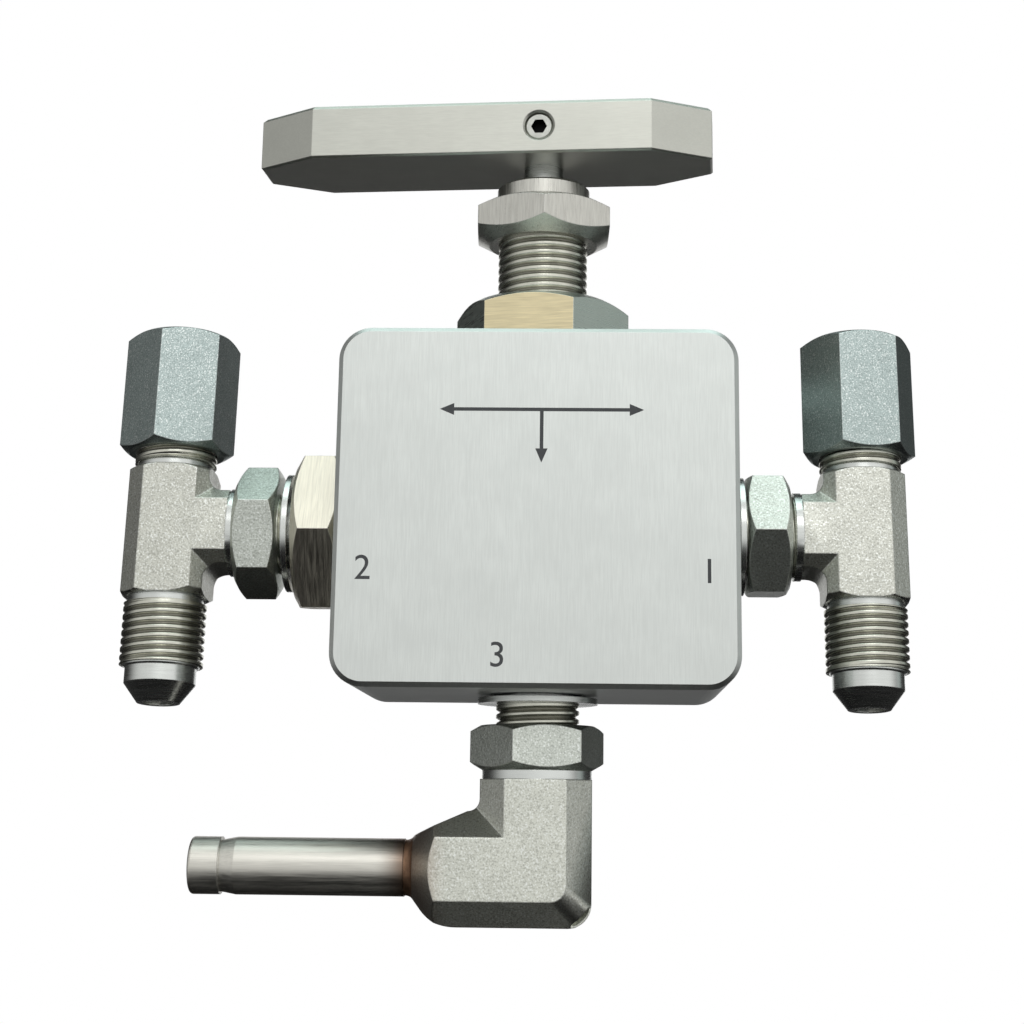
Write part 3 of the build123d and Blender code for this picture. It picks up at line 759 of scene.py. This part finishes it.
@dataclass
class ThreadedWall:
    """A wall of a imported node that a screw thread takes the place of."""

    place: Matrix
    thread: ScrewThread
    past_ends: float = 0.4
    tolerance: float = 0.02
    under_root: float = 0.08

    def draw_in(self, work: bmesh.types.BMesh) -> None:
        """Draw the wall in to just under the thread's root.

        Args:
            work: The mesh that has the wall.
        """
        back = self.place.inverted()
        thread = self.thread
        wall = thread.major_diameter / 2 * MM
        lowest, highest = thread.low - self.past_ends, thread.high + self.past_ends
        for vertex in work.verts:
            point = back @ vertex.co
            radius = math.hypot(point.x, point.y)
            inside = lowest < point.z / MM < highest
            if inside and abs(radius - wall) < self.tolerance * MM:
                scale = (thread.root_radius - self.under_root) * MM / radius
                vertex.co = self.place @ Vector((point.x * scale, point.y * scale, point.z))


def copy_node(node: str, name: str, walls: list[ThreadedWall]) -> Object:
    """Copy a node's mesh and draw in its threaded walls.

    Args:
        node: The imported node's name.
        name: The new piece's name.
        walls: The threaded walls.

    Returns:
        The copy, which stands for the node.
    """
    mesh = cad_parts[node].data.copy()
    work = bmesh.new()
    work.from_mesh(mesh)
    bmesh.ops.remove_doubles(work, verts=work.verts, dist=NODE_WELD_DISTANCE)
    for wall in walls:
        wall.draw_in(work)
    sharpest = math.radians(SMOOTH_BELOW_DEGREES)
    for edge in work.edges:
        edge.smooth = len(edge.link_faces) == 2 and edge.calc_face_angle(0.0) < sharpest
    for face in work.faces:
        face.smooth = True
    work.to_mesh(mesh)
    work.free()
    if "custom_normal" in mesh.attributes:
        mesh.attributes.remove(mesh.attributes["custom_normal"])
    return new_object(name, mesh)


@dataclass
class SubAssembly:
    """What every sub-assembly does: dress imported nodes, and add pieces to a body."""

    palette: Palette

    def dress(self, finishes: dict[str, str]) -> None:
        """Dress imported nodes.

        Args:
            finishes: The names of the nodes, parted by spaces, by the finish's name.
        """
        for finish, nodes in finishes.items():
            for node in nodes.split():
                self.palette.dress(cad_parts[node], finish)
                log.info("dressed %s in %s", node, finish)

    def add(self, piece: Object, body: str, finish: str, replaces: str | None = None) -> None:
        """Dress a new piece and let it ride on its body.

        Args:
            piece: The new piece.
            body: The body that it rides on.
            finish: The finish's name.
            replaces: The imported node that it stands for, if any.
        """
        self.palette.dress(piece, finish)
        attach(piece, body)
        if replaces:
            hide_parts(replaces)
        log.info("built %s with %d faces", piece.name, len(piece.data.polygons))

    def add_thread(self, name: str, body: str, wall: ThreadedWall) -> None:
        """Make the screw thread that takes a wall's place, and let it ride on its body."""
        ridge = wall.thread.build(name, wall.place, self.palette.materials["Thread rolled"])
        self.add(ridge, body, "Thread rolled")

    def paint_faces(
        self, piece: Object, finish: str, chosen: Callable[[Vector, Vector], bool]
    ) -> None:
        """Give some faces of a piece a second finish.

        Args:
            piece: The piece.
            finish: The second finish's name.
            chosen: Whether a face with this centre, in millimetres, and this normal gets it.
        """
        piece.data.materials.append(self.palette.materials[finish])
        last = len(piece.data.materials) - 1
        for face in piece.data.polygons:
            if chosen(face.center / MM, face.normal):
                face.material_index = last


@dataclass
class ValveBody(SubAssembly):
    """The block, bonnet, gland nut, end adapter, the parts inside, and the marks in front."""

    neck_diameter: float = 16.0
    neck_pitch: float = 1.5
    neck_low: float = 0.0
    neck_high: float = 17.4
    neck_depth: float = 0.62
    brushed_below: float = -0.5
    brushed_facing: float = -0.9
    front: float = -21.0
    numbers: tuple[tuple[str, float, float], ...] = (
        ("1", 28.3, -50.0),
        ("2", -28.4, -49.8),
        ("3", -6.1, -63.8),
    )
    number_height: float = 5.805
    mark_proud: float = 0.005
    mark_depth: float = 0.1
    flow_half_width: float = 17.0
    flow_drop: float = 9.0
    flow_line: float = 0.6
    flow_head_length: float = 2.4
    flow_head_half_width: float = 1.02
    flow_place: tuple[float, float] = (0.7, -23.0)

    def build(self) -> None:
        """Dress the body's nodes and add the neck's thread and the marks."""
        self.dress({
            "Block brushed": "body_block",
            "Adapter brushed": "end_adapter",
            "Gland nut satin": "gland_nut",
            "Turned bright": "gland stop_pin ball",
            "Seal rubber": "adapter_ring bonnet_ring seat_ring_a seat_ring_b",
            "Tan plastic": "seat_a seat_b",
            "Packing plastic": "stem_packing",
        })
        self.build_neck()
        self.build_numbers()
        self.build_flow_mark()

    def build_neck(self) -> None:
        """Replace the bonnet by a copy with a real thread on its neck."""
        thread = ScrewThread(
            self.neck_diameter, self.neck_pitch, self.neck_low, self.neck_high, self.neck_depth
        )
        wall = ThreadedWall(Matrix.Identity(4), thread)
        bonnet = copy_node("bonnet", "bonnet_forging", [wall])
        self.add(bonnet, "valve_body", "Bonnet smooth", "bonnet")

        def is_front_flat(centre: Vector, normal: Vector) -> bool:
            """Whether a face lies on the front flat of the hexagon."""
            return normal.y < self.brushed_facing and centre.z < self.brushed_below

        self.paint_faces(bonnet, "Bonnet brushed", is_front_flat)
        self.add_thread("bonnet_neck_thread", "valve_body", wall)

    def build_numbers(self) -> None:
        """Add the etched port numbers on the front face."""
        for text, x, z in self.numbers:
            curve = bpy.data.curves.new("port_number_" + text, "FONT")
            curve.body = text
            curve.size = self.number_height * MM
            curve.align_x = curve.align_y = "CENTER"
            curve.extrude = (self.mark_depth / 2) * MM
            curve.resolution_u = 6
            holder = new_object("port_number_" + text, curve)
            depth = self.front + self.mark_depth / 2 - self.mark_proud
            piece = plain_mesh(holder, shift(x, depth, z) @ turn(90, "X"))
            self.add(piece, "valve_body", "Etched mark")

    def build_flow_mark(self) -> None:
        """Add the flow mark: a line with an arrow toward each of the three ports."""
        half, low, line = self.flow_half_width, -self.flow_drop, self.flow_line / 2
        head, wing = self.flow_head_length, self.flow_head_half_width
        inner = half - head
        strokes = [
            [(-inner, -line), (inner, -line), (inner, line), (-inner, line)],
            [(-line, low + head), (line, low + head), (line, -line), (-line, -line)],
            [(-half, 0), (-inner, -wing), (-inner, wing)],
            [(inner, -wing), (half, 0), (inner, wing)],
            [(-wing, low + head), (0, low), (wing, low + head)],
        ]
        mesh = bpy.data.meshes.new("flow_mark")
        build = bmesh.new()
        for stroke in strokes:
            corners = [build.verts.new(Vector((x, y, 0)) * MM) for x, y in stroke]
            face = build.faces.new(corners)
            raised = bmesh.ops.extrude_face_region(build, geom=[face])["geom"]
            tops = [item for item in raised if isinstance(item, bmesh.types.BMVert)]
            bmesh.ops.translate(build, verts=tops, vec=(0, 0, self.mark_depth * MM))
        build.to_mesh(mesh)
        build.free()
        x, z = self.flow_place
        depth = self.front + self.mark_depth - self.mark_proud
        piece = plain_mesh(new_object("flow_mark", mesh), shift(x, depth, z) @ turn(90, "X"))
        self.add(piece, "valve_body", "Etched mark")


@dataclass
class Handle(SubAssembly):
    """The bar handle with its set screw, and the stem that it turns."""

    skew: float = -4.3
    socket_radius: float = 1.5
    socket_starts: float = 0.3
    socket_ends: float = 2.4

    def build(self) -> None:
        """Dress the handle's nodes and paint the set screw's socket dark, as oxide and painted
        shade.
        """
        nodes = {"Handle brushed": "handle_bar", "Turned bright": "stem"}
        self.dress({**nodes, "Tan plastic": "thrust_washer"})
        self.build_set_screw()

    def build_set_screw(self) -> None:
        """Replace the set screw by a copy whose hexagon socket is painted dark inside, as oxide and
        shade.
        """
        screw = copy_node("handle_set_screw", "handle_set_screw_socketed", [])
        self.add(screw, "handle", "Set screw steel", "handle_set_screw")
        square = turn(-self.skew, "Z")
        points = [square @ vertex.co / MM for vertex in screw.data.vertices]
        heights = [point.z for point in points]
        height = (min(heights) + max(heights)) / 2
        head, radius = min(point.y for point in points), self.socket_radius
        starts, ends = head + self.socket_starts, head + self.socket_ends

        def is_socket(centre: Vector, normal: Vector) -> bool:
            """Whether a face lies inside the screw's socket."""
            place = square @ centre
            return starts < place.y < ends and math.hypot(place.x, place.z - height) < radius

        # Painted shade inside the socket, over the screw's black oxide.
        self.paint_faces(screw, "Socket oxide and painted shade", is_socket)


@dataclass(kw_only=True)
class StudFitting(SubAssembly):
    """What the adjustable fittings share: their thread, and the washer at the port."""

    thread_diameter: float = 14.29
    thread_pitch: float = 1.411
    thread_run_out: float = 0.9
    washer_gap: float = 0.9
    washer_thickness: float = 1.0
    collar_start: float
    turned_overlap: float

    def wall(self, place: Matrix, low: float, high: float) -> ThreadedWall:
        """A wall at a place with the fitting's thread on it, from low to high."""
        sizes = (self.thread_diameter, self.thread_pitch, low, high)
        return ThreadedWall(place, ScrewThread(*sizes, run_out=self.thread_run_out))

    def stud(self, place: Matrix) -> ThreadedWall:
        """The stud's threaded wall, from the washer to the collar."""
        return self.wall(place, self.washer_gap + self.washer_thickness, self.collar_start)


@dataclass(kw_only=True)
class RunTee(StudFitting):
    """A forged run tee with flared ends, its tube nut, sleeve, lock nut and washer."""

    letter: str
    port_x: float
    faces_left: bool
    port_axis: float = -41.0
    lean: float = 5.4
    reach: float = 22.8
    body_up: float = 10.9
    body_down: float = 11.9
    ring_height: float = 1.15
    forging_start: float = 11.8
    thread_length: float = 11.75
    collar_start: float = 10.6
    turned_overlap: float = 0.2

    @property
    def port(self) -> Matrix:
        """The port face's place, its +X outward."""
        place = shift(self.port_x, 0, self.port_axis) @ turn(-self.lean, "X")
        return place @ turn(180, "Z") if self.faces_left else place

    def end(self, place: Matrix, body_end: float) -> ThreadedWall:
        """The threaded wall of one flared end, from its ring."""
        return self.wall(place, body_end + self.ring_height, body_end + self.thread_length)

    def build(self) -> None:
        """Dress the fitting's nodes and put real threads on the tee."""
        tee = "tee_" + self.letter
        nodes = {
            "Tube nut plated": "tube_nut_",
            "Turned bright": "flare_sleeve_",
            "Lock nut plated": "lock_nut_",
            "Turned across": "backup_washer_",
            "Seal rubber": "port_ring_",
        }
        self.dress({finish: node + self.letter for finish, node in nodes.items()})
        run = self.port @ shift(self.reach, 0, 0)
        walls = {
            "upper": self.end(run, self.body_up),
            "lower": self.end(run @ turn(180, "X"), self.body_down),
            "stud": self.stud(self.port @ turn(90, "Y")),
        }
        for end, wall in walls.items():
            self.add_thread(tee + "_" + end + "_thread", tee, wall)
        forging = copy_node(tee, tee + "_forging", list(walls.values()))
        self.add(forging, tee, "Forging plated", tee)
        back = run.inverted()
        low, high = self.turned_overlap - self.body_down, self.body_up - self.turned_overlap
        stud_end = self.forging_start - self.reach

        def is_turned(centre: Vector, normal: Vector) -> bool:
            """Whether a face lies past the forging's ends or on its stud."""
            place = back @ (centre * MM) / MM
            return not low <= place.z <= high or place.x < stud_end

        self.paint_faces(forging, "Turned bright", is_turned)


@dataclass(kw_only=True)
class ElbowFitting(StudFitting):
    """The forged elbow with its tube stub, braze, lock nut and washer."""

    port_z: float = -68.9
    washer_gap: float = 0.4
    collar_start: float = 12.6
    collar_height: float = 1.5
    turned_overlap: float = 0.1

    def build(self) -> None:
        """Dress the fitting's nodes and put a real thread on the stud."""
        self.dress({
            "Tube polished": "tube_stub_c",
            "Braze heat tint": "braze_ring_c",
            "Lock nut plated": "lock_nut_c",
            "Turned bright": "backup_washer_c",
            "Seal rubber": "port_ring_c",
        })
        wall = self.stud(shift(0, 0, self.port_z) @ turn(180, "X"))
        forging = copy_node("elbow_c", "elbow_c_forging", [wall])
        self.add(forging, "elbow", "Forging heat tinted", "elbow_c")
        forging_top = self.port_z - self.collar_start - self.collar_height

        def is_turned(centre: Vector, normal: Vector) -> bool:
            """Whether a face lies above the forging, on its stud."""
            return centre.z > forging_top - self.turned_overlap

        self.paint_faces(forging, "Turned bright", is_turned)
        self.add_thread("elbow_c_stud_thread", "elbow", wall)


@dataclass(frozen=True)
class SoftBox:
    """A rectangular soft box that faces the middle of the valve."""

    name: str
    place: Triple
    width: float
    height: float
    power: float
    colour: Colour = (1, 1, 1)
    target: Triple = (0, 0, -40)

    def hang(self) -> None:
        """Hang the box at its place."""
        data = bpy.data.lights.new(self.name, "AREA")
        data.shape = "RECTANGLE"
        data.size = self.width * MM
        data.size_y = self.height * MM
        data.energy = self.power
        data.color = self.colour
        way = Vector(self.target) - Vector(self.place)
        look = way.to_track_quat("-Z", "Y").to_matrix().to_4x4()
        new_object(self.name, data).matrix_world = shift(*self.place) @ look


@dataclass
class Studio:
    """The floor, the backdrop, the lamps, the room around and the camera."""

    camera_place: Triple = (9.1, -327.6, -89.9)
    camera_yaw: float = -1.6
    camera_pitch: float = 12.59
    camera_roll: float = 0.67
    sensor_width: float = 36.0
    focal_pixels: float = 1888.0
    image_pixels: int = 1024
    centre_column: float = 541.0
    centre_row: float = 400.0
    floor_height: float = -6000.0
    floor_size: float = 1000.0
    backdrop_distance: float = 3000.0
    backdrop_half_width: float = 1300.0
    backdrop_low: float = -450.0
    backdrop_high: float = 1700.0
    boxes: tuple[SoftBox, ...] = (
        SoftBox("Front box", (100, -1500, 1000), 900, 600, 3.4),
        SoftBox("Top box", (0, 0, 1500), 1400, 1300, 9.0, srgb(232, 255, 252)),
        SoftBox("Right box", (1450, 380, 300), 500, 900, 0.5, srgb(240, 255, 252)),
    )
    room_dark: Colour = (0.008, 0.008, 0.008)
    room_pale: Colour = (1.0, 1.0, 0.99)
    above_band: Band = (-0.6, -0.12)
    front_band: Band = (0.45, -0.62)
    right_band: Band = (-0.8, 0.8)
    front_glow: float = 0.76
    right_glow: float = 0.28
    rest_glow: float = 0.03
    behind_band: Band = (0.9, 0.97)
    horizon_band: Band = (-0.14, -0.08)

    def build(self) -> None:
        """Build the whole studio."""
        self.build_camera()
        self.build_ground()
        for box in self.boxes:
            box.hang()
        self.build_room()
        bpy.context.scene.view_settings.view_transform = "Standard"
        log.info("built the studio")

    def build_camera(self) -> None:
        """Place the camera at the photograph's viewpoint."""
        data = bpy.data.cameras.new("Camera")
        data.sensor_width = self.sensor_width
        data.lens = self.focal_pixels / self.image_pixels * self.sensor_width
        data.shift_x = (self.image_pixels / 2 - self.centre_column) / self.image_pixels
        data.shift_y = (self.centre_row - self.image_pixels / 2) / self.image_pixels
        data.clip_start = 0.01
        camera = new_object("Camera", data)
        look = turn(-self.camera_yaw, "Z") @ turn(90 + self.camera_pitch, "X")
        camera.matrix_world = shift(*self.camera_place) @ look @ turn(self.camera_roll, "Z")
        bpy.context.scene.camera = camera

    def plane(self, name: str, corners: list[Triple], colour: Colour, glows: bool) -> None:
        """Make a flat stage piece.

        Args:
            name: The piece's name.
            corners: Its four corners in millimetres.
            colour: Its colour.
            glows: Whether a camera, glossy or transmission ray sees it white.
        """
        mesh = bpy.data.meshes.new(name)
        mesh.from_pydata([Vector(c) * MM for c in corners], [], [(0, 1, 2, 3)])
        piece = new_object(name, mesh)
        material = bpy.data.materials.new(name)
        material.use_nodes = True
        tree = Tree(material.node_tree)
        surface = tree.add("ShaderNodeBsdfDiffuse", {"Color": (*colour, 1)}).outputs[0]
        if glows:
            path = tree.add("ShaderNodeLightPath").outputs
            seen = tree.plus(path["Is Camera Ray"], path["Is Glossy Ray"], clamp=True)
            seen = tree.plus(seen, path["Is Transmission Ray"], clamp=True)
            white = tree.add("ShaderNodeEmission", {"Color": (1, 1, 1, 1), "Strength": 1.0})
            inputs = {0: seen, 1: surface, 2: white.outputs[0]}
            surface = tree.add("ShaderNodeMixShader", inputs).outputs[0]
        tree.add("ShaderNodeOutputMaterial", {"Surface": surface})
        mesh.materials.append(material)

    def build_ground(self) -> None:
        """Lay the plain pale floor, and hang the white backdrop well behind the valve."""
        half, height = self.floor_size / 2, self.floor_height
        corners = [(x * half, y * half, height) for x, y in ((-1, -1), (1, -1), (1, 1), (-1, 1))]
        self.plane("Floor", corners, srgb(226, 226, 224), False)
        half, far = self.backdrop_half_width, self.backdrop_distance
        low, high = self.backdrop_low, self.backdrop_high
        corners = [(-half, far, low), (half, far, low), (half, far, high), (-half, far, high)]
        self.plane("Backdrop", corners, (1, 1, 1), True)

    def build_room(self) -> None:
        """Fill the room: pale in front and above, dark below, and white where the camera looks."""
        world = bpy.data.worlds.new("Studio")
        world.use_nodes = True
        bpy.context.scene.world = world
        tree = Tree(world.node_tree)
        plus, times = tree.plus, tree.times
        around = tree.add("ShaderNodeTexCoord").outputs["Generated"]
        way = tree.add("ShaderNodeSeparateXYZ", {0: around}).outputs
        above = tree.ramp(way["Z"], *self.above_band)
        ahead = tree.ramp(way["Y"], *self.front_band)
        rightward = tree.ramp(way["X"], *self.right_band)
        strength = plus(self.front_glow, times(rightward, self.right_glow))
        front = times(ahead, strength)
        glow = times(above, plus(front, self.rest_glow))
        colour = tree.mix(glow, self.room_dark, self.room_pale)
        path = tree.add("ShaderNodeLightPath").outputs
        over_horizon = tree.ramp(way["Z"], *self.horizon_band)
        behind = times(tree.ramp(way["Y"], *self.behind_band), over_horizon)
        glossy = times(path["Is Glossy Ray"], behind)
        seen = plus(path["Is Camera Ray"], path["Is Transmission Ray"], clamp=True)
        seen = plus(seen, glossy, clamp=True)
        colour = tree.mix(seen, colour, (1, 1, 1))
        background = tree.add("ShaderNodeBackground", {"Color": colour, "Strength": 1.0})
        tree.add("ShaderNodeOutputWorld", {"Surface": background.outputs[0]})


def main() -> None:
    """Build the studio and dress the valve."""
    logging.basicConfig(level=logging.INFO, format="%(name)s: %(message)s")
    palette = Palette(SurfaceEffects())
    Studio().build()
    ValveBody(palette).build()
    Handle(palette).build()
    RunTee(palette, letter="a", port_x=33.5, faces_left=False).build()
    RunTee(palette, letter="b", port_x=-42.1, faces_left=True).build()
    ElbowFitting(palette).build()


if __name__ == "__main__":
    main()
